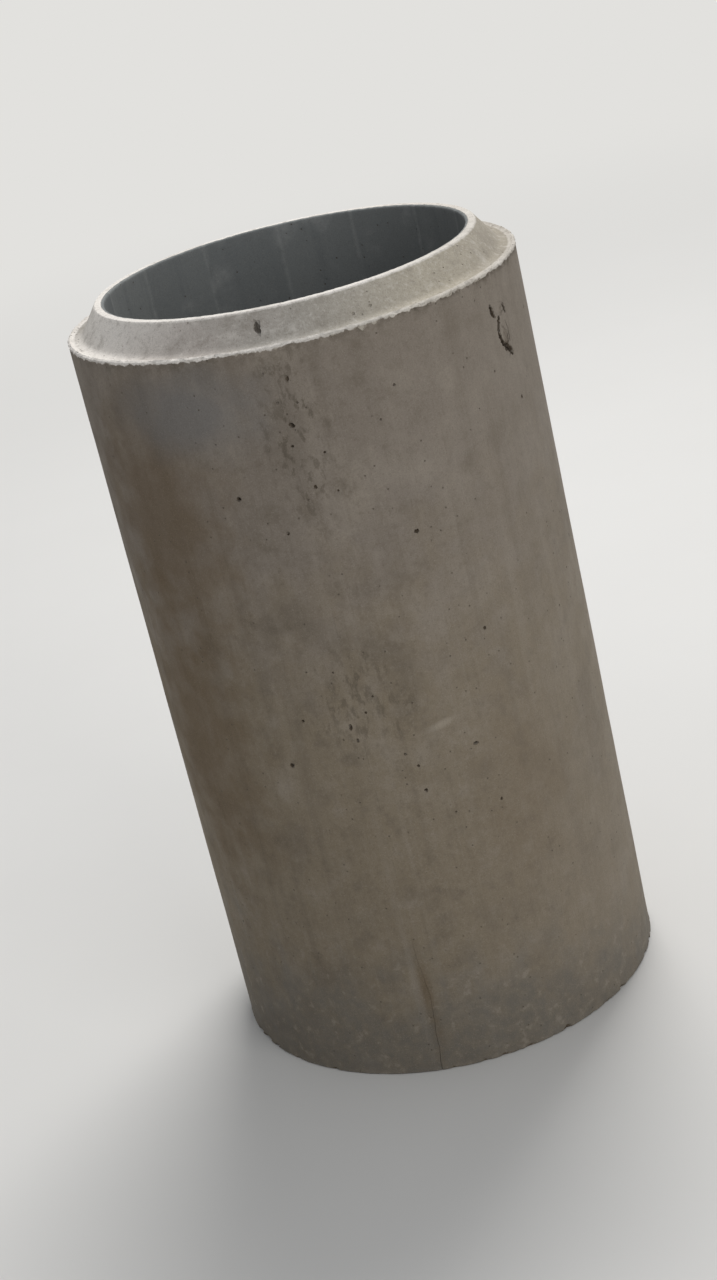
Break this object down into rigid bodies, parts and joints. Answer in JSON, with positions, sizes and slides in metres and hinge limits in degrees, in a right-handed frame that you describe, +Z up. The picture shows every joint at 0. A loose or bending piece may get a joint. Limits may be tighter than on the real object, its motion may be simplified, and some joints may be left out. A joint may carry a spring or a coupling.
{
  "type": "concrete sewer pipe",
  "caption": "Straight precast concrete drain pipe with a tapered spigot at one end, a matching recessed socket at the other and a smooth round bore.",
  "frame": {"origin": "centre of the socket's lip, on the pipe's axis, where the pipe stands on the ground", "axes": "+Z up along the pipe's axis, from the socket to the spigot; X and Y are any two directions across the pipe, which is round"},
  "size_m": [0.5639, 0.564, 1],
  "materials": {
    "concrete": "matte"
  },
  "bodies": {
    "root": {"concrete_pipe": "concrete"}
  },
  "joints": []
}
